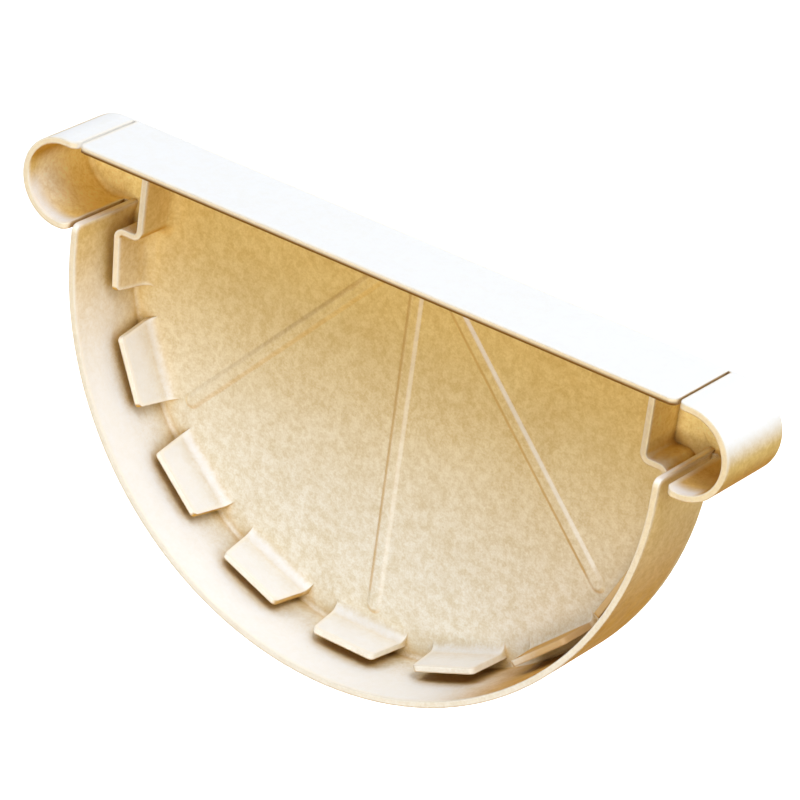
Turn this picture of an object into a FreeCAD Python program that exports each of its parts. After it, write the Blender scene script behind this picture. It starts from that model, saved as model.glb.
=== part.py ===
import FreeCAD, Part
import math
import os
import Sketcher

# Gutter end cap for a half-round gutter with a round bead along both edges.
#
# The cap is one piece of coated sheet. A half-round plate with two round ears closes the
# gutter, and one flange runs forward from its whole edge: the skirt under the gutter, a
# sleeve round each bead, and the flat band across the top. Tabs stand on the plate inside
# the skirt, and the gutter's end slides in between the two.
#
# Millimetres. X runs across the gutter, Y from the open mouth to the plate, and Z is up.
# The origin is the centre of the half-round skirt, at the mouth.

DRIVING_SIZES = [
    ("gutter_radius", 62.5, "outside radius of the gutter"),
    ("gutter_sheet", 0.7, "thickness of the gutter's own sheet"),
    ("gutter_gap", 0.3, "room between gutter and skirt"),
    ("sheet_thickness", 1.2, "thickness of the coated sheet"),
    ("cap_depth", 18.8, "from the mouth to the back of the plate"),
    ("bead_radius", 7.4, "outside radius of the gutter's bead"),
    ("bead_gap", 0.1, "room between bead and sleeve"),
    ("bead_offset", 5.1, "from the gutter's side out to the bead's centre"),
    ("bead_level", 9.8, "height of the bead's centre above the origin"),
    ("bend_inside", 0.8, "inside radius where plate turns into flange"),
    ("foot_radius", 0.8, "hollow corner below an ear"),
    ("slit_inset", 2.6, "from the bead's centre in to the slit beside the band"),
    ("slit_width", 0.6, "width of that slit"),
    ("slit_land", 0.2, "flange left between a slit's end and the bend"),
    ("skirt_top", 3.0, "height of the skirt's top edge above the origin"),
    ("sleeve_opening", 1.3, "from the skirt out to the free end of a sleeve"),
    ("corner_radius", 1.4, "rounding of the flange's free corners"),
    ("tab_gap", 0.65, "room between the tabs' corners and the gutter's inside"),
    ("tab_height", 9.0, "how far a tab stands off the plate"),
    ("tab_root_width", 16.0, "width of a tab at the plate"),
    ("tab_tip_width", 13.4, "width of a tab at its free edge"),
    ("tab_count", 9, "tabs in the whole ring, with the foot of each end wall"),
    ("tab_pitch", 21.4, "angle between neighbouring tabs"),
    ("tab_corner", 0.9, "rounding of a tab's free corners"),
    ("end_wall_room", 4.3, "from the sleeve's inner side in to the end wall"),
    ("end_wall_step", 0.83, "from an end tab's tip corner down to the step's upper face"),
    ("end_wall_headroom", 1.5, "from the end wall's top up to the band"),
    ("step_bend", 0.8, "inside radius of the bends in an end wall"),
    ("root_bend", 2.0, "inside radius where tabs and end walls turn into the plate"),
    ("rib_width", 3.2, "width of a pressed rib"),
    ("rib_height", 0.45, "how far a rib stands proud of the plate"),
    ("rib_slope", 30.0, "slope of a rib's flanks, from the plate"),
    ("rib_softness", 0.7, "rounding along a rib's crown"),
    ("rib_start", 8.0, "from the fan's centre to the near end of a rib"),
    ("rib_margin", 2.4, "from the far end of a rib to the tabs"),
    ("rib_spread", 43.0, "angle between neighbouring ribs"),
]

doc = FreeCAD.newDocument("gutter_end_cap")
sizes = doc.addObject("Spreadsheet::Sheet", "sizes")
for row, (alias, number, meaning) in enumerate(DRIVING_SIZES, start=1):
    sizes.set(f"A{row}", meaning)
    sizes.set(f"B{row}", str(number))
    sizes.setAlias(f"B{row}", alias)
doc.recompute()

# Lengths worked out from the sheet, as expressions that follow it
SHEET = "sizes.sheet_thickness"
SKIRT_INSIDE = "(sizes.gutter_radius + sizes.gutter_gap)"
SKIRT_OUTSIDE = f"({SKIRT_INSIDE} + {SHEET})"
BEAD_SIDE = "(sizes.gutter_radius + sizes.bead_offset)"
SLEEVE_INSIDE = "(sizes.bead_radius + sizes.bead_gap)"
SLEEVE_OUTSIDE = f"({SLEEVE_INSIDE} + {SHEET})"
BAND_UNDERSIDE = f"(sizes.bead_level + {SLEEVE_INSIDE})"
BAND_TOP = f"({BAND_UNDERSIDE} + {SHEET})"
PLATE_FRONT = f"(sizes.cap_depth - {SHEET})"
PLATE_MIDDLE = f"(sizes.cap_depth - {SHEET} / 2)"
SLIT_END = f"({PLATE_FRONT} - sizes.bend_inside - sizes.slit_land)"
SLIT_OUTER_SIDE = f"({BEAD_SIDE} - sizes.slit_inset)"
SLIT_INNER_SIDE = f"({SLIT_OUTER_SIDE} - sizes.slit_width)"
SLEEVE_END = f"({SKIRT_OUTSIDE} + sizes.sleeve_opening)"
TAB_TIP = f"({PLATE_FRONT} - sizes.tab_height)"
TAB_CORNER_REACH = "(sizes.gutter_radius - sizes.gutter_sheet - sizes.tab_gap)"
TAB_RING_OUTSIDE = f"sqrt({TAB_CORNER_REACH} ^ 2 - (sizes.tab_root_width / 2) ^ 2)"
TAB_RING_INSIDE = f"({TAB_RING_OUTSIDE} - {SHEET})"
END_TAB_TURN = "((sizes.tab_count - 1) / 2 * sizes.tab_pitch)"
END_TAB_ABOVE_MIDDLE = f"(sizes.tab_tip_width / 2 * sin({END_TAB_TURN}))"
END_TAB_DROP = f"({TAB_RING_OUTSIDE} * cos({END_TAB_TURN}))"
STEP_TOP = f"({END_TAB_ABOVE_MIDDLE} - {END_TAB_DROP} - sizes.end_wall_step)"
STEP_UNDERSIDE = f"({STEP_TOP} - {SHEET})"
END_WALL_OUTSIDE = f"({BEAD_SIDE} - {SLEEVE_INSIDE} - sizes.end_wall_room)"
END_WALL_INSIDE = f"({END_WALL_OUTSIDE} - {SHEET})"
END_WALL_TOP = f"({BAND_UNDERSIDE} - sizes.end_wall_headroom)"
SKIRT_BEND_EDGE = f"({SKIRT_INSIDE} - sizes.bend_inside)"
RIB_REACH = f"({TAB_RING_INSIDE} - sizes.rib_margin)"

body = doc.addObject("PartDesign::Body", "end_cap")
body.Label = "end_cap"


def value(expression):
    """The present value of an expression of the sheet, in millimetres or degrees."""
    answer = body.evalExpression(expression)
    return float(getattr(answer, "Value", answer))


def origin_feature(role):
    return next(item for item in body.Origin.OriginFeatures if item.Role == role)


def new_sketch(name, plane, offset="0"):
    """An empty sketch on an origin plane, moved along the plane's normal by offset."""
    sketch = body.newObject("Sketcher::SketchObject", name)
    sketch.AttachmentSupport = [(origin_feature(plane), "")]
    sketch.MapMode = "FlatFace"
    sketch.setExpression("AttachmentOffset.Base.z", offset)
    return sketch


def join_ends(sketch, kind, first, first_end, second, second_end):
    sketch.addConstraint(Sketcher.Constraint(kind, first, first_end, second, second_end))


def pin_point(sketch, geometry, end, across, up):
    """Holds one end of a sketch element, or its centre, at a place given by expressions."""
    for kind, expression in (("DistanceX", across), ("DistanceY", up)):
        constraint = Sketcher.Constraint(kind, -1, 1, geometry, end, value(expression))
        index = sketch.addConstraint(constraint)
        sketch.setExpression(f"Constraints[{index}]", expression)


def set_radius(sketch, geometry, expression):
    index = sketch.addConstraint(Sketcher.Constraint("Radius", geometry, value(expression)))
    sketch.setExpression(f"Constraints[{index}]", expression)


def add_polygon(sketch, corners):
    """A closed outline of straight lines, each corner a pair of expressions."""
    places = [FreeCAD.Vector(value(across), value(up), 0) for across, up in corners]
    count = len(corners)
    lines = []
    for number in range(count):
        line = Part.LineSegment(places[number], places[(number + 1) % count])
        lines.append(sketch.addGeometry(line, False))
    for number in range(count):
        join_ends(sketch, "Coincident", lines[number - 1], 2, lines[number], 1)
        pin_point(sketch, lines[number], 1, *corners[number])


def arc_between(centre, start, end):
    """An arc that runs anticlockwise about centre from start to end."""
    circle = Part.Circle(centre, FreeCAD.Vector(0, 0, 1), centre.distanceToPoint(start))
    return Part.ArcOfCircle(circle, circle.parameter(start), circle.parameter(end))


def mirrored(corners):
    return [(f"-({across})", up) for across, up in corners]


def cap_outline(name, inset):
    """The cap seen from the mouth: half-round skirt, two ears and the straight top.

    inset moves the whole outline inwards, so that two of them leave one thickness of sheet.
    """
    sketch = new_sketch(name, "XZ_Plane")
    skirt_radius = f"({SKIRT_OUTSIDE} - {inset})"
    ear_radius = f"({SLEEVE_OUTSIDE} - {inset})"
    foot_radius = f"(sizes.foot_radius + {inset})"
    skirt = value(skirt_radius)
    ear = value(ear_radius)
    foot = value(foot_radius)

    # The foot's hollow arc touches both the skirt's upright side and the round ear
    origin = FreeCAD.Vector(0, 0, 0)
    ear_centre = FreeCAD.Vector(value(BEAD_SIDE), value("sizes.bead_level"), 0)
    foot_inward = ear_centre.x - skirt - foot
    foot_drop = math.sqrt((ear + foot) ** 2 - foot_inward ** 2)
    foot_centre = ear_centre - FreeCAD.Vector(foot_inward, foot_drop, 0)
    ear_foot = ear_centre + (foot_centre - ear_centre) * (ear / (ear + foot))
    ear_top = ear_centre + FreeCAD.Vector(0, ear, 0)
    side_bottom = FreeCAD.Vector(skirt, 0, 0)
    side_top = FreeCAD.Vector(skirt, foot_centre.y, 0)

    def across(point):
        return FreeCAD.Vector(-point.x, point.y, 0)

    outline = [
        arc_between(origin, across(side_bottom), side_bottom),
        Part.LineSegment(side_bottom, side_top),
        arc_between(foot_centre, ear_foot, side_top),
        arc_between(ear_centre, ear_foot, ear_top),
        Part.LineSegment(ear_top, across(ear_top)),
        arc_between(across(ear_centre), across(ear_top), across(ear_foot)),
        arc_between(across(foot_centre), across(side_top), across(ear_foot)),
        Part.LineSegment(across(side_top), across(side_bottom)),
    ]
    skirt_arc, _, right_foot, right_ear, _, left_ear, left_foot, _ = range(len(outline))
    sketch.addGeometry(outline, False)
    for number in range(len(outline)):
        following = (number + 1) % len(outline)
        # The two foot arcs run against the walk round the outline
        leaves_at = 1 if number in (right_foot, left_foot) else 2
        enters_at = 2 if following in (right_foot, left_foot) else 1
        join_ends(sketch, "Tangent", number, leaves_at, following, enters_at)

    pin_point(sketch, right_ear, 3, BEAD_SIDE, "sizes.bead_level")
    pin_point(sketch, left_ear, 3, f"-{BEAD_SIDE}", "sizes.bead_level")
    join_ends(sketch, "Coincident", skirt_arc, 3, -1, 1)
    for end in (1, 2):
        sketch.addConstraint(Sketcher.Constraint("PointOnObject", skirt_arc, end, -1))
    set_radius(sketch, skirt_arc, skirt_radius)
    set_radius(sketch, right_ear, ear_radius)
    set_radius(sketch, right_foot, foot_radius)
    set_radius(sketch, left_foot, foot_radius)
    return sketch


def polygon_sketch(name, plane, offset, *polygons):
    sketch = new_sketch(name, plane, offset)
    for corners in polygons:
        add_polygon(sketch, corners)
    return sketch


def rectangle(low_across, high_across, low_up, high_up):
    return [
        (low_across, low_up),
        (high_across, low_up),
        (high_across, high_up),
        (low_across, high_up),
    ]


def pad(name, sketch, length, backwards=False, taper="0"):
    """Material from the sketch towards the mouth, or backwards towards the plate."""
    feature = body.newObject("PartDesign::Pad", name)
    feature.Profile = sketch
    feature.Reversed = backwards
    feature.setExpression("Length", length)
    feature.setExpression("TaperAngle", taper)
    doc.recompute()
    return feature


def pocket(name, sketch, length, forwards=False, taper="0"):
    """A cut from the sketch towards the plate, or forwards towards the mouth."""
    before = body.Shape.Volume
    feature = body.newObject("PartDesign::Pocket", name)
    feature.Profile = sketch
    feature.Reversed = forwards
    feature.setExpression("Length", length)
    feature.setExpression("TaperAngle", taper)
    doc.recompute()
    if body.Shape.Volume > before - 1e-6:
        raise RuntimeError(f"{name} cuts nothing")
    return feature


def ring_pattern(name, feature, other_way):
    """Copies a feature round the Y axis, from its own place to one side."""
    ring = body.newObject("PartDesign::PolarPattern", name)
    ring.Originals = [feature]
    ring.Axis = (origin_feature("Y_Axis"), [""])
    ring.Reversed = other_way
    ring.Mode = "Spacing"
    ring.setExpression("Offset", "sizes.tab_pitch")
    ring.setExpression("Occurrences", "(sizes.tab_count + 1) / 2")
    body.Tip = ring
    doc.recompute()
    return ring


def fillet(name, radius, wanted):
    """Rounds the edges of the body that wanted picks out."""
    base = body.Tip
    edges = enumerate(base.Shape.Edges, start=1)
    picked = [f"Edge{number}" for number, edge in edges if wanted(edge)]
    if not picked:
        raise RuntimeError(f"{name} finds no edge")
    feature = body.newObject("PartDesign::Fillet", name)
    feature.Base = (base, picked)
    feature.setExpression("Radius", radius)
    doc.recompute()
    return feature


def same(first, second):
    return abs(first - second) < 0.005


def points_on(edge):
    """The edge's two ends and its middle."""
    middle = (edge.FirstParameter + edge.LastParameter) / 2
    return [edge.valueAt(place) for place in (edge.FirstParameter, middle, edge.LastParameter)]


def lies_at_depth(edge, depth):
    """True where the whole edge lies in the plane at that place along Y."""
    return all(same(point.y, depth) for point in points_on(edge))


def is_sheet_end(edge):
    """True for a straight edge about as long as the sheet is thick."""
    share = edge.Length / value(SHEET)
    return edge.Curve.TypeId == "Part::GeomLine" and 0.9 < share < 1.2


def add_slot(sketch, centre_line, radius):
    """A long outline with round ends, whose arcs are centred on the ends of a line."""
    (start_across, start_up), (end_across, end_up) = centre_line
    start = FreeCAD.Vector(value(start_across), value(start_up), 0)
    end = FreeCAD.Vector(value(end_across), value(end_up), 0)
    along = (end - start).normalize()
    aside = FreeCAD.Vector(-along.y, along.x, 0) * value(radius)
    outline = [
        arc_between(start, start + aside, start - aside),
        Part.LineSegment(start - aside, end - aside),
        arc_between(end, end - aside, end + aside),
        Part.LineSegment(end + aside, start + aside),
    ]
    parts = sketch.addGeometry(outline, False)
    for number, part in enumerate(parts):
        join_ends(sketch, "Tangent", parts[number - 1], 2, part, 1)
    pin_point(sketch, parts[0], 3, start_across, start_up)
    pin_point(sketch, parts[2], 3, end_across, end_up)
    set_radius(sketch, parts[0], radius)


def rib_sketch(name, offset, radius):
    """The fan of three ribs, which end on a circle just inside the ring of tabs."""
    sketch = new_sketch(name, "XZ_Plane", offset)
    for turn in (-1, 0, 1):
        angle = f"({turn} * sizes.rib_spread)"
        beside = f"({BAND_UNDERSIDE} * sin({angle}))"
        length = f"({BAND_UNDERSIDE} * cos({angle}) + sqrt({RIB_REACH} ^ 2 - {beside} ^ 2))"
        near = "(sizes.rib_start + sizes.rib_width / 2)"
        far = f"({length} - sizes.rib_width / 2)"
        centre_line = [
            (f"{reached} * sin({angle})", f"{BAND_UNDERSIDE} - {reached} * cos({angle})")
            for reached in (near, far)
        ]
        add_slot(sketch, centre_line, radius)
    return sketch


def plate_and_flange():
    """The outline as a solid block, hollowed from the mouth."""
    pad("outer_form", cap_outline("outer_outline", "0"), "sizes.cap_depth", backwards=True)
    pocket("hollow", cap_outline("inner_outline", SHEET), PLATE_FRONT)
    front = value(PLATE_FRONT)
    fillet("inner_bend", "sizes.bend_inside", lambda edge: lies_at_depth(edge, front))


def sleeve_slits():
    """Slits from the mouth that part each sleeve from the band above and the skirt below."""
    band_slit = rectangle(SLIT_INNER_SIDE, SLIT_OUTER_SIDE, "sizes.bead_level", f"2 * {BAND_TOP}")
    foot_slit = rectangle(SKIRT_BEND_EDGE, SLEEVE_END, "0", "sizes.bead_level")
    slits = [band_slit, mirrored(band_slit), foot_slit, mirrored(foot_slit)]
    pocket("sleeve_slits", polygon_sketch("slit_outlines", "XZ_Plane", "0", *slits), SLIT_END)

    # The skirt's own sides stand upright between the lower slits and the end walls
    side = rectangle(SKIRT_INSIDE, SKIRT_OUTSIDE, "0", "sizes.skirt_top")
    sides = polygon_sketch("side_outlines", "XZ_Plane", "0", side, mirrored(side))
    pad("skirt_sides", sides, PLATE_FRONT, backwards=True)


def back_bend_and_mouth_corners():
    back = value("sizes.cap_depth")
    bend_outside = f"sizes.bend_inside + {SHEET}"
    fillet("outer_bend", bend_outside, lambda edge: lies_at_depth(edge, back))

    def is_mouth_corner(edge):
        return lies_at_depth(edge, 0) and is_sheet_end(edge)

    fillet("mouth_corners", "sizes.corner_radius", is_mouth_corner)


def pressed_ribs():
    """Ribs that stand proud of the plate's front, with their hollows behind."""
    flank = "sizes.rib_slope - 90"
    outlines = rib_sketch("rib_outlines", f"-{PLATE_FRONT}", "(sizes.rib_width / 2)")
    pad("ribs", outlines, "sizes.rib_height", taper=flank)
    hollow_radius = f"(sizes.rib_width / 2 - {SHEET} * tan(sizes.rib_slope / 2))"
    hollows = rib_sketch("rib_hollow_outlines", "-sizes.cap_depth", hollow_radius)
    pocket("rib_hollows", hollows, "sizes.rib_height", forwards=True, taper=flank)

    crown = value(f"{PLATE_FRONT} - sizes.rib_height")
    fillet("rib_crowns", "sizes.rib_softness", lambda edge: lies_at_depth(edge, crown))


def tab_ring():
    """Flat tabs that stand on the plate, wider at the root than at the tip."""
    tab = [
        ("-sizes.tab_tip_width / 2", TAB_TIP),
        ("sizes.tab_tip_width / 2", TAB_TIP),
        ("sizes.tab_root_width / 2", PLATE_FRONT),
        ("sizes.tab_root_width / 2", PLATE_MIDDLE),
        ("-sizes.tab_root_width / 2", PLATE_MIDDLE),
        ("-sizes.tab_root_width / 2", PLATE_FRONT),
    ]
    outline = polygon_sketch("tab_outline", "XY_Plane", f"-{TAB_RING_OUTSIDE}", tab)
    lowest_tab = pad("lowest_tab", outline, SHEET)
    ring_pattern("tabs_one_way", lowest_tab, False)
    ring_pattern("tabs_other_way", lowest_tab, True)


def end_walls():
    """Each end tab, cut level, carries a step inwards and an upright wall."""
    above_step = rectangle(END_WALL_OUTSIDE, SKIRT_BEND_EDGE, STEP_TOP, END_WALL_TOP)
    cuts = [above_step, mirrored(above_step)]
    pocket("level_cuts", polygon_sketch("level_cut_outlines", "XZ_Plane", "0", *cuts), PLATE_FRONT)
    step_end = f"({TAB_RING_OUTSIDE} - {SHEET} / 2)"
    wall = [
        (END_WALL_INSIDE, STEP_UNDERSIDE),
        (step_end, STEP_UNDERSIDE),
        (step_end, STEP_TOP),
        (END_WALL_OUTSIDE, STEP_TOP),
        (END_WALL_OUTSIDE, END_WALL_TOP),
        (END_WALL_INSIDE, END_WALL_TOP),
    ]
    walls = [wall, mirrored(wall)]
    outlines = polygon_sketch("end_wall_outlines", "XZ_Plane", f"-{PLATE_MIDDLE}", *walls)
    pad("end_walls", outlines, f"sizes.tab_height + {SHEET} / 2")

    wall_outside = value(END_WALL_OUTSIDE)
    wall_inside = value(END_WALL_INSIDE)
    skirt_inside = value(SKIRT_INSIDE)
    step_top = value(STEP_TOP)
    step_underside = value(STEP_UNDERSIDE)

    def bend_place(edge):
        """How far across and how high an edge along Y stands, or nowhere for any other."""
        near, _, far = points_on(edge)
        if same(near.x, far.x) and same(near.z, far.z):
            return abs(near.x), near.z
        return 0, 0

    def is_hollow_side(edge):
        across, up = bend_place(edge)
        at_wall = same(across, wall_outside) and same(up, step_top)
        at_tab = wall_outside < across < skirt_inside and same(up, step_underside)
        return at_wall or at_tab

    def is_round_side(edge):
        across, up = bend_place(edge)
        at_wall = same(across, wall_inside) and same(up, step_underside)
        at_tab = wall_outside + 1 < across < skirt_inside and same(up, step_top)
        return at_wall or at_tab

    fillet("step_bends_hollow_side", "sizes.step_bend", is_hollow_side)
    fillet("step_bends_round_side", f"sizes.step_bend + {SHEET}", is_round_side)


def tab_corners_and_roots():
    """Free corners rounded, and the face towards the middle curved into the plate."""
    tip = value(TAB_TIP)
    front = value(PLATE_FRONT)
    wall_inside = value(END_WALL_INSIDE)
    ring_inside = value(TAB_RING_INSIDE)

    def is_tip_corner(edge):
        return lies_at_depth(edge, tip) and is_sheet_end(edge)

    def faces_middle(edge):
        """True for a root line on a tab's or an end wall's inner side."""
        near, middle, far = points_on(edge)
        out_from_axis = math.hypot(middle.x, middle.z)
        on_tab = same(out_from_axis, ring_inside)
        on_wall = same(abs(near.x), wall_inside) and same(abs(far.x), wall_inside)
        return lies_at_depth(edge, front) and (on_tab or on_wall)

    fillet("tab_corners", "sizes.tab_corner", is_tip_corner)
    fillet("tab_roots", "sizes.root_bend", faces_middle)


plate_and_flange()
sleeve_slits()
back_bend_and_mouth_corners()
pressed_ribs()
tab_ring()
end_walls()
tab_corners_and_roots()

# Nothing is written unless every step and the finished solid are sound
for item in doc.Objects:
    if "Invalid" in item.State or "Error" in item.State:
        raise RuntimeError(f"{item.Label} failed: {item.State}")
cap = body.Shape
if cap.isNull() or not cap.isValid() or len(cap.Solids) != 1:
    raise RuntimeError("the end cap is not one sound solid")

os.makedirs("parts", exist_ok=True)
cap.exportStep(f"parts/{body.Label}.step")
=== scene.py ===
import math

import bpy
from mathutils import Matrix, Vector


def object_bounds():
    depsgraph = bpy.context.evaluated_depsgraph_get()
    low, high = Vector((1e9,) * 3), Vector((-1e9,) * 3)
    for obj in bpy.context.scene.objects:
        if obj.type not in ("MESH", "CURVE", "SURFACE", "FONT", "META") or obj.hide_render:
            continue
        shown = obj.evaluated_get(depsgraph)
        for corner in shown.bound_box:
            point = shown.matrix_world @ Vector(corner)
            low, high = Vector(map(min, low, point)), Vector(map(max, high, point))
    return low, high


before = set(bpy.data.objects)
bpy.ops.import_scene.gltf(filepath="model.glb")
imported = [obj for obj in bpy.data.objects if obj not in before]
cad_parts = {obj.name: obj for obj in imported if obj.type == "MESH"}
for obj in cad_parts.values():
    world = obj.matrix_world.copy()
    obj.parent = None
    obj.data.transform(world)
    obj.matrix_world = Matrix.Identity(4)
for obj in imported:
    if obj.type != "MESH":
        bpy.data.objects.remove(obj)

CAD_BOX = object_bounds()
MM = 0.001
WHITE = (1.0, 1.0, 1.0, 1.0)

# The camera of the photograph: where it aims, how far off, and its slight roll
AIM = Vector((4.7 * MM, 9.4 * MM, -8.5 * MM))
CAMERA_AZIMUTH = math.radians(32.53)
CAMERA_ELEVATION = math.radians(26.65)
CAMERA_ROLL = math.radians(7.89)
CAMERA_DISTANCE = 841.2 * MM
SENSOR_WIDTH = 36.0
LENS = 214.9
CLIP_START = 10 * MM
CLIP_END = 20.0


def make_camera():
    level_right = Vector((math.cos(CAMERA_AZIMUTH), math.sin(CAMERA_AZIMUTH), 0))
    back = Vector((
        math.sin(CAMERA_AZIMUTH) * math.cos(CAMERA_ELEVATION),
        -math.cos(CAMERA_AZIMUTH) * math.cos(CAMERA_ELEVATION),
        math.sin(CAMERA_ELEVATION),
    ))
    right = Matrix.Rotation(CAMERA_ROLL, 3, back) @ level_right
    up = back.cross(right)
    camera = bpy.data.objects.new("camera", bpy.data.cameras.new("camera"))
    camera.matrix_world = Matrix.Translation(AIM + back * CAMERA_DISTANCE) @ Matrix((
        (right.x, up.x, back.x, 0),
        (right.y, up.y, back.y, 0),
        (right.z, up.z, back.z, 0),
        (0, 0, 0, 1),
    ))
    camera.data.sensor_width = SENSOR_WIDTH
    camera.data.lens = LENS
    camera.data.clip_start = CLIP_START
    camera.data.clip_end = CLIP_END
    bpy.context.scene.collection.objects.link(camera)
    bpy.context.scene.camera = camera


def srgb(red, green, blue):
    """Linear colour, with an alpha of 1, of an sRGB colour in parts of 255."""
    def linear(part):
        share = part / 255
        return share / 12.92 if share <= 0.04045 else ((share + 0.055) / 1.055) ** 2.4
    return (linear(red), linear(green), linear(blue), 1.0)


def mm(*lengths):
    """Lengths in metres of lengths in millimetres."""
    return tuple(length * MM for length in lengths)


class Nodes:
    """The emptied node tree of a material or world, with short calls to fill it."""

    def __init__(self, owner, output_kind):
        owner.use_nodes = True
        self.owner = owner
        self.tree = owner.node_tree
        self.tree.nodes.clear()
        self.output = self.tree.nodes.new(output_kind)

    def add(self, kind, **values):
        """A new node, with each value on its input of that name or else its property."""
        node = self.tree.nodes.new(kind)
        for name, value in values.items():
            if name in node.inputs:
                node.inputs[name].default_value = value
            else:
                setattr(node, name, value)
        return node

    def link(self, source, target):
        self.tree.links.new(source, target)

    def finish(self, source):
        self.link(source, self.output.inputs["Surface"])

    def rising(self, source, window, start=0.0, end=1.0):
        """From start to end, smoothly, while the source passes through a window of two values."""
        low, high = window
        spread = self.add("ShaderNodeMapRange", interpolation_type="SMOOTHSTEP")
        for name, number in (("From Min", low), ("From Max", high), ("To Min", start), ("To Max", end)):
            spread.inputs[name].default_value = number
        self.link(source, spread.inputs["Value"])
        return spread.outputs["Result"]

    def falling(self, source, window, start=1.0, end=0.0):
        return self.rising(source, window, start, end)

    def combined(self, operation, first, second):
        """An output and a number or other output, added, multiplied or otherwise combined."""
        node = self.add("ShaderNodeMath", operation=operation)
        self.link(first, node.inputs[0])
        if isinstance(second, float):
            node.inputs[1].default_value = second
        else:
            self.link(second, node.inputs[1])
        return node.outputs["Value"]

    def product(self, first, *others):
        for other in others:
            first = self.combined("MULTIPLY", first, other)
        return first

    def within(self, source, rise, fall):
        """1 where the source lies between two windows, with a smooth fade through each."""
        return self.product(self.rising(source, rise), self.falling(source, fall))

    def blended(self, share, first, second):
        """A colour between first and second, each a fixed colour or another node's output."""
        mix = self.add("ShaderNodeMix", data_type="RGBA")
        self.link(share, mix.inputs["Factor"])
        colour_inputs = [entry for entry in mix.inputs if entry.type == "RGBA"]
        for entry, colour in zip(colour_inputs, (first, second)):
            if isinstance(colour, tuple):
                entry.default_value = colour
            else:
                self.link(colour, entry)
        return next(result for result in mix.outputs if result.type == "RGBA")

    def vector_parts(self, vector):
        split = self.add("ShaderNodeSeparateXYZ")
        self.link(vector, split.inputs["Vector"])
        return split.outputs

    def distance(self, across, height, centre):
        """How far a place lies from a centre, seen from the mouth."""
        place = self.add("ShaderNodeCombineXYZ")
        self.link(across, place.inputs["X"])
        self.link(height, place.inputs["Z"])
        reach = self.add("ShaderNodeVectorMath", operation="DISTANCE")
        reach.inputs[1].default_value = centre
        self.link(place.outputs["Vector"], reach.inputs[0])
        return reach.outputs["Value"]

    def openness(self, reach, samples, inside=False):
        """How open a place is, from 0 deep in a crease to 1, within reach metres.

        Measured inside the sheet, it is below 1 only along the cut edges.
        """
        shelter = self.add("ShaderNodeAmbientOcclusion", samples=samples, inside=inside, Distance=reach)
        return shelter.outputs["AO"]

    def facing(self, normal, direction):
        """How far a normal faces a direction, from -1 to 1."""
        agreement = self.add("ShaderNodeVectorMath", operation="DOT_PRODUCT")
        agreement.inputs[1].default_value = direction
        self.link(normal, agreement.inputs[0])
        return agreement.outputs["Value"]

    def noise(self, lump, detail=3.0, roughness=0.55):
        """Soft noise whose lumps are about so many metres across."""
        place = self.add("ShaderNodeTexCoord")
        texture = self.add("ShaderNodeTexNoise", Scale=1 / lump, Detail=detail, Roughness=roughness)
        self.link(place.outputs["Object"], texture.inputs["Vector"])
        return texture.outputs["Fac"]


# Places on the cap, as the lengths between which a tone fades: out from a bead's centre or
# the skirt's axis, out from the middle, up from the origin, and in from the mouth
BEAD_CENTRE = (67.6 * MM, 0.0, 9.8 * MM)
SKIRT_AXIS = (0.0, 0.0, 0.0)
SLEEVE_SIDE = mm(7.7, 8.1)
TAB_RING = mm(52, 53.5)
SKIRT_SHEET = mm(63.0, 63.6)
END_WALL_SIDE = mm(55.3, 55.8)
SKIRT_SIDE = mm(61, 62)
SKIRT_TOP = mm(3.0, 4.5)
BAND_UNDERSIDE = mm(17.1, 17.3)
MOUTH = mm(0.5, 6)
TAB_ROOTS = mm(15.5, 16.5)
RIB_CROWNS = mm(16.7, 17.0)
PLATE_MIDDLE = mm(17.7, 18.2)
PLATE_BACK = mm(17.9, 18.2)

# What is read at each point: how wide the edges are rounded, and how far openness reaches
EDGE_ROUNDING = 0.4 * MM
NEAR_REACH = 3.0 * MM
WIDE_REACH = 12 * MM
SHEET_REACH = 1.1 * MM


class Surface:
    """What the coating's tone depends on at each point of the cap."""

    def __init__(self, nodes):
        place = nodes.add("ShaderNodeNewGeometry").outputs["Position"]
        self.across, self.depth, self.height = nodes.vector_parts(place)
        self.aside = nodes.combined("ABSOLUTE", self.across, 0.0)
        self.from_skirt_axis = nodes.distance(self.across, self.height, SKIRT_AXIS)
        self.normal = nodes.add("ShaderNodeBevel", samples=4, Radius=EDGE_ROUNDING).outputs["Normal"]
        self.facing_up = nodes.vector_parts(self.normal)["Z"]
        self.openness_near = nodes.openness(NEAR_REACH, samples=6)
        self.openness_wide = nodes.openness(WIDE_REACH, samples=4)
        self.uncreased = nodes.rising(self.openness_near, (0.15, 0.5))
        self.pocket = self.pocket_share(nodes)

    def pocket_share(self, nodes):
        """1 inside the sleeves and behind the end walls, fading out towards the mouth."""
        from_bead = nodes.distance(self.aside, self.height, BEAD_CENTRE)
        in_sleeve = nodes.falling(from_bead, SLEEVE_SIDE)
        behind_wall = nodes.product(
            nodes.within(self.aside, END_WALL_SIDE, SKIRT_SIDE),
            nodes.rising(self.height, SKIRT_TOP),
            nodes.falling(self.height, BAND_UNDERSIDE),
        )
        pocket = nodes.combined("MAXIMUM", in_sleeve, behind_wall)
        return nodes.product(
            pocket,
            nodes.rising(self.depth, MOUTH),
            nodes.falling(self.depth, PLATE_MIDDLE),
        )


# Coating: upright faces with painted shade by height, deeper ochre high up under the band and paler low
# down, then painted light on faces towards the top light and painted shade on those away from it
UPRIGHT_HIGH = srgb(221, 190, 116)
UPRIGHT_LOW = srgb(227, 218, 198)
HEIGHT_RANGE = mm(-48, 10)
# Painted light: near white on faces towards the top light, and in the left slit
PAINTED_LIGHT = srgb(246, 248, 250)
# Painted shade on undersides and on faces turned away from the light
UNDERSIDE = srgb(199, 148, 50)
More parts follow.
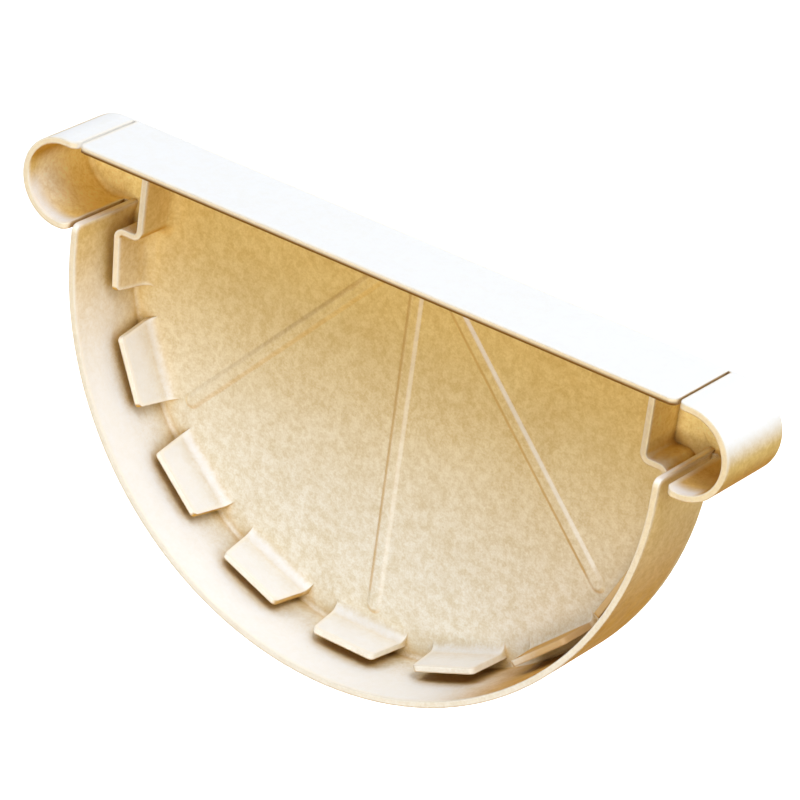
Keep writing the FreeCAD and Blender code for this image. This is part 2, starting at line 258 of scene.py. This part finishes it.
# Painted shade: a deep yellow in closed-in places, inside the sleeves and behind the end walls
RECESS_SHADE = srgb(252, 226, 148)
SHADED = srgb(205, 162, 84)
# Painted shade, dark brown, deep in narrow creases
CREASE = srgb(100, 62, 8)
# Painted shadow: brown along the band's lip
PAINTED_LIP_SHADOW = srgb(125, 84, 26)
# Painted highlight on cut edges, rib flanks and low in the left sleeve
PAINTED_HIGHLIGHT = srgb(252, 248, 238)

# Directions that decide how much painted light and painted shade a face gets: towards above-right painted
# light, towards behind-left painted shade
FROM_BEHIND_LEFT = (-0.6, 0.8, 0.0)
FROM_ABOVE_RIGHT = (0.3, 0.0, 0.95)


def tone_with_painted_light(nodes, surface):
    """The tone with painted light and shade by height, recesses and facing, and the share of it that is
    painted top light.
    """
    # Painted shade: upright faces deeper ochre higher up, where the band shades them
    tone = nodes.blended(nodes.rising(surface.height, HEIGHT_RANGE), UPRIGHT_LOW, UPRIGHT_HIGH)
    # Painted shade in closed-in places and in the pockets of the sleeves and end walls
    closed_in = nodes.product(
        nodes.falling(surface.openness_wide, (0.1, 0.55)),
        nodes.rising(surface.height, mm(-25, 0), start=0.6),
    )
    recess_shade = nodes.combined("MAXIMUM", closed_in, surface.pocket)
    tone = nodes.blended(recess_shade, tone, RECESS_SHADE)

    # Painted shade: undersides are deep ochre, the ribs' less than the flange's, and so are the back's
    # left bends, turned away from the light
    facing_down = nodes.product(
        nodes.falling(surface.facing_up, (-0.5, 0.05)),
        nodes.falling(surface.depth, TAB_ROOTS, end=0.4),
    )
    tone = nodes.blended(facing_down, tone, UNDERSIDE)
    turned_away = nodes.product(
        nodes.within(nodes.facing(surface.normal, FROM_BEHIND_LEFT), (0.15, 0.42), (0.45, 0.58)),
        nodes.falling(surface.depth, PLATE_BACK),
    )
    tone = nodes.blended(turned_away, tone, UNDERSIDE)

    # Painted light: open upper faces, turned towards the top light, go near white
    top_light = nodes.product(
        nodes.rising(nodes.facing(surface.normal, FROM_ABOVE_RIGHT), (0.25, 0.8)),
        nodes.rising(surface.openness_wide, (0.45, 0.75)),
        nodes.falling(recess_shade, (0.0, 0.9)),
        nodes.falling(turned_away, (0.0, 1.0)),
    )
    return nodes.blended(top_light, tone, PAINTED_LIGHT), top_light


# Painted light: a pale patch low in the left sleeve, near the mouth
LEFT_SLEEVE_LIGHT = (-75.5 * MM, 0.0, 5.0 * MM)
LEFT_SLEEVE_LIGHT_REACH = mm(1, 9)
LEFT_SLEEVE_LIGHT_DEPTH = mm(3, 13)


def sleeve_light_and_shade(nodes, surface, tone):
    """Painted light in the left sleeve near the mouth, and painted shade on the up-facing faces of the
    right one.
    """
    from_sleeve_light = nodes.distance(surface.across, surface.height, LEFT_SLEEVE_LIGHT)
    # Painted light near the mouth, low in the left sleeve
    pale = nodes.product(
        surface.pocket,
        nodes.falling(from_sleeve_light, LEFT_SLEEVE_LIGHT_REACH, start=0.8),
        nodes.falling(surface.depth, LEFT_SLEEVE_LIGHT_DEPTH),
    )
    tone = nodes.blended(pale, tone, PAINTED_HIGHLIGHT)
    # Painted shade on the up-facing faces of the right sleeve
    painted_sleeve_shade = nodes.product(
        surface.pocket,
        nodes.rising(surface.facing_up, (0.1, 0.7), end=0.6),
        nodes.rising(surface.across, mm(0, 60)),
    )
    return nodes.blended(painted_sleeve_shade, tone, SHADED)


# Grain: sizes with their shares, how far it darkens and lightens the coating, and how much of it fades
# where top light is painted
GRAIN = ((20 * MM, 0.14), (2.5 * MM, 0.24), (1.0 * MM, 0.34), (0.4 * MM, 0.28))
GRAIN_DARK = (0.88, 0.82, 0.69, 1.0)
GRAIN_LIGHT = (1.12, 1.18, 1.31, 1.0)
GRAIN_CONTRAST = (0.38, 0.62)
GRAIN_PAINTED_LIGHT_AWAY = 0.88


def grained(nodes, tone, top_light):
    """The tone with its grain, which is faint where top light is painted on."""
    layers = [
        nodes.product(nodes.rising(nodes.noise(lump), GRAIN_CONTRAST), share)
        for lump, share in GRAIN
    ]
    grain = layers[0]
    for layer in layers[1:]:
        grain = nodes.combined("ADD", grain, layer)
    tint = nodes.blended(grain, GRAIN_DARK, GRAIN_LIGHT)
    calm = nodes.rising(top_light, (0.0, 1.0), end=GRAIN_PAINTED_LIGHT_AWAY)
    tint = nodes.blended(calm, tint, WHITE)
    tinted = nodes.add("ShaderNodeVectorMath", operation="MULTIPLY")
    nodes.link(tone, tinted.inputs[0])
    nodes.link(tint, tinted.inputs[1])
    return tinted.outputs["Vector"]


# Painted light and shade on the ribs' flanks, on the plate within the ring of tabs, as lit from this
# direction
RIB_LIGHT = (0.8, 0.0, 0.6)


def rib_flanks(nodes, surface, colour):
    """Painted highlight on the pressed ribs' flank towards the light and painted shade on the other."""
    on_ribs = nodes.product(
        nodes.within(surface.depth, RIB_CROWNS, PLATE_MIDDLE),
        nodes.falling(surface.from_skirt_axis, TAB_RING),
    )
    flank = nodes.facing(surface.normal, RIB_LIGHT)
    light_flank = nodes.product(on_ribs, nodes.rising(flank, (0.15, 0.6), end=0.6))
    dark_flank = nodes.product(on_ribs, nodes.falling(flank, (-0.4, -0.1), start=0.6))
    colour = nodes.blended(light_flank, colour, PAINTED_HIGHLIGHT)
    return nodes.blended(dark_flank, colour, SHADED)


def creases_and_edges(nodes, surface, colour):
    """Painted brown shade in narrow gaps, and painted highlights on the sheet's cut edges, a little less
    at the right.
    """
    # Painted shade near and deep in narrow gaps
    colour = nodes.blended(nodes.falling(surface.openness_near, (0.35, 0.85), start=0.9), colour, SHADED)
    colour = nodes.blended(surface.uncreased, CREASE, colour)
    # Painted highlight on the cut edges
    painted_edge_light = nodes.product(
        nodes.falling(nodes.openness(SHEET_REACH, samples=6, inside=True), (0.55, 0.95)),
        nodes.rising(surface.facing_up, (-0.35, 0.15)),
        nodes.rising(surface.openness_near, (0.3, 0.6), end=0.95),
        nodes.falling(surface.across, mm(0, 50), end=0.7),
    )
    return nodes.blended(painted_edge_light, colour, PAINTED_HIGHLIGHT)


# Where the last tabs at the right stand, where a painted shadow lies on the band's lip, and the left
# slit, which gets painted light
LAST_TABS_ACROSS = mm(34, 42)
LAST_TABS_HEIGHT = mm(-20, -10)
LAST_TABS_TIPS = mm(3, 6)
LAST_TABS_SHADE = 0.75
LIP_MIDDLE = mm(17.5, 18.2)
LIP_DEPTH = mm(1, 2)
LIP_END = mm(64, 65)
LEFT_SLIT_ACROSS = mm(-66, -60)
LEFT_SLIT_HEIGHT = mm(15.0, 16.5)


def painted_shadows_and_slit_light(nodes, surface, colour):
    """Painted shade on the last tabs at the right, deep in the skirt's shade, a painted brown shadow on
    the band's lip, and painted light in the left slit.
    """
    # Painted shade on the last tabs at the right
    on_last_tabs = nodes.product(
        nodes.rising(surface.across, LAST_TABS_ACROSS),
        nodes.falling(surface.height, LAST_TABS_HEIGHT),
        nodes.within(surface.depth, LAST_TABS_TIPS, TAB_ROOTS),
        nodes.falling(surface.from_skirt_axis, SKIRT_SHEET),
        LAST_TABS_SHADE,
    )
    colour = nodes.blended(on_last_tabs, colour, SHADED)
    # Painted shadow along the band's lip
    on_lip = nodes.product(
        nodes.within(surface.height, BAND_UNDERSIDE, LIP_MIDDLE),
        nodes.falling(surface.depth, LIP_DEPTH),
        nodes.falling(surface.aside, LIP_END),
    )
    colour = nodes.blended(on_lip, colour, PAINTED_LIP_SHADOW)
    # Painted light in the left slit, over its painted crease shade
    in_left_slit = nodes.product(
        nodes.rising(surface.height, LEFT_SLIT_HEIGHT),
        nodes.falling(surface.across, LEFT_SLIT_ACROSS),
        nodes.falling(surface.openness_near, (0.4, 0.9)),
    )
    return nodes.blended(in_left_slit, colour, PAINTED_LIGHT)


# Gloss of the coating, and the size and depth of its slight unevenness
REFRACTION = 1.45
SPECULAR = 0.2
SATIN_ROUGHNESS = (0.42, 0.58)
CREASE_ROUGHNESS = 0.9
SATIN_LUMP = 3 * MM
PEEL_LUMP = 0.9 * MM
PEEL_DEPTH = 0.02 * MM
PEEL_STRENGTH = 0.3


def coating():
    """Satin ivory coating with a grain, with painted light where the top light falls and painted ochre
    shade where it doesn't.
    """
    nodes = Nodes(bpy.data.materials.new("ivory_coating_finish"), "ShaderNodeOutputMaterial")
    surface = Surface(nodes)
    tone, top_light = tone_with_painted_light(nodes, surface)
    tone = sleeve_light_and_shade(nodes, surface, tone)
    colour = grained(nodes, tone, top_light)
    for layer in (rib_flanks, creases_and_edges, painted_shadows_and_slit_light):
        colour = layer(nodes, surface, colour)

    satin = nodes.rising(nodes.noise(SATIN_LUMP), (0.3, 0.7), *SATIN_ROUGHNESS)
    dull = nodes.falling(surface.uncreased, (0.0, 1.0), start=CREASE_ROUGHNESS)
    peel = nodes.add("ShaderNodeBump", Strength=PEEL_STRENGTH, Distance=PEEL_DEPTH)
    nodes.link(nodes.noise(PEEL_LUMP), peel.inputs["Height"])
    nodes.link(surface.normal, peel.inputs["Normal"])

    shader = nodes.add("ShaderNodeBsdfPrincipled", IOR=REFRACTION)
    shader.inputs["Specular IOR Level"].default_value = SPECULAR
    nodes.link(colour, shader.inputs["Base Color"])
    nodes.link(nodes.combined("MAXIMUM", satin, dull), shader.inputs["Roughness"])
    nodes.link(peel.outputs["Normal"], shader.inputs["Normal"])
    nodes.finish(shader.outputs["BSDF"])
    return nodes.owner


# The pale floor lies well below the cap, which a gutter would hold up in the air
FLOOR_DROP = 400 * MM
FLOOR_SIZE = 8.0

# The floor as it looks, whiter further out, and the warm tone that it throws up on the cap
FLOOR_SEEN = srgb(240, 240, 240)
FLOOR_GLOW = (0.45, 0.95)
FLOOR_GLOW_REACH = (0.55, 0.90)
FLOOR_BOUNCE = srgb(217, 199, 168)


def floor_finish():
    """Floor that looks white, keeps the cap's shadow and hides nothing from below."""
    nodes = Nodes(bpy.data.materials.new("floor_finish"), "ShaderNodeOutputMaterial")
    place = nodes.add("ShaderNodeTexCoord")
    far = nodes.add("ShaderNodeVectorMath", operation="LENGTH")
    nodes.link(place.outputs["Object"], far.inputs[0])
    glow = nodes.add("ShaderNodeEmission")
    nodes.link(nodes.rising(far.outputs["Value"], FLOOR_GLOW_REACH, *FLOOR_GLOW), glow.inputs["Strength"])
    pale = nodes.add("ShaderNodeBsdfDiffuse", Color=FLOOR_SEEN)
    white = nodes.add("ShaderNodeAddShader")
    nodes.link(pale.outputs["BSDF"], white.inputs[0])
    nodes.link(glow.outputs["Emission"], white.inputs[1])

    def mixed(share, first, second):
        mix = nodes.add("ShaderNodeMixShader")
        nodes.link(share, mix.inputs["Fac"])
        nodes.link(first, mix.inputs[1])
        nodes.link(second, mix.inputs[2])
        return mix.outputs["Shader"]

    seen = nodes.add("ShaderNodeLightPath").outputs["Is Camera Ray"]
    bounce = nodes.add("ShaderNodeBsdfDiffuse", Color=FLOOR_BOUNCE)
    top = mixed(seen, bounce.outputs["BSDF"], white.outputs["Shader"])
    from_below = nodes.add("ShaderNodeNewGeometry").outputs["Backfacing"]
    clear = nodes.add("ShaderNodeBsdfTransparent")
    nodes.finish(mixed(from_below, top, clear.outputs["BSDF"]))
    return nodes.owner


def make_floor():
    half = FLOOR_SIZE / 2
    lowest_point = CAD_BOX[0][2]
    height = lowest_point - FLOOR_DROP
    mesh = bpy.data.meshes.new("floor")
    corners = [(-half, -half, height), (half, -half, height), (half, half, height), (-half, half, height)]
    mesh.from_pydata(corners, [], [(0, 1, 2, 3)])
    floor = bpy.data.objects.new("floor", mesh)
    floor.data.materials.append(floor_finish())
    bpy.context.scene.collection.objects.link(floor)


# Lamps: degrees up, degrees round from the mouth to the right, and watts
LAMPS = {
    "key": (60, 50, 8.0),
    "left_fill": (52, -68, 4.3),
    "right_fill": (15, 80, 3.8),
    "front_fill": (-4, 12, 8.6),
    "back_fill": (20, 165, 10.2),
    "left_back_fill": (-3, -108, 5.0),
}
LAMP_SIZE = 0.7
LAMP_DISTANCE = 1.2
AMBIENT = 0.05


def direction(elevation, azimuth):
    """Unit vector to a place that high and that far round to the right of the mouth, in degrees."""
    up = math.radians(elevation)
    aside = math.radians(azimuth)
    return Vector((math.sin(aside) * math.cos(up), -math.cos(aside) * math.cos(up), math.sin(up)))


def make_lights():
    """Large soft lamps all round the cap, each aimed at it from the same distance."""
    for name, (elevation, azimuth, power) in LAMPS.items():
        data = bpy.data.lights.new(name, "AREA")
        data.shape = "DISK"
        data.size = LAMP_SIZE
        data.energy = power
        lamp = bpy.data.objects.new(name, data)
        towards_lamp = direction(elevation, azimuth)
        lamp.location = towards_lamp * LAMP_DISTANCE
        lamp.rotation_euler = towards_lamp.to_track_quat("Z", "Y").to_euler()
        bpy.context.scene.collection.objects.link(lamp)


def make_world():
    """White all round to the camera and in reflections, faint as a light."""
    nodes = Nodes(bpy.data.worlds.new("studio"), "ShaderNodeOutputWorld")
    path = nodes.add("ShaderNodeLightPath")
    seen = nodes.combined("MAXIMUM", path.outputs["Is Camera Ray"], path.outputs["Is Glossy Ray"])
    seen = nodes.combined("MAXIMUM", seen, path.outputs["Is Transmission Ray"])
    background = nodes.add("ShaderNodeBackground", Color=WHITE)
    nodes.link(nodes.rising(seen, (0.0, 1.0), start=AMBIENT), background.inputs["Strength"])
    nodes.finish(background.outputs["Background"])
    bpy.context.scene.world = nodes.owner


make_camera()
make_floor()
make_lights()
make_world()
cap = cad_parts["end_cap"]
for slot in cap.material_slots:
    slot.material = coating()
bpy.context.scene.view_settings.view_transform = "Standard"
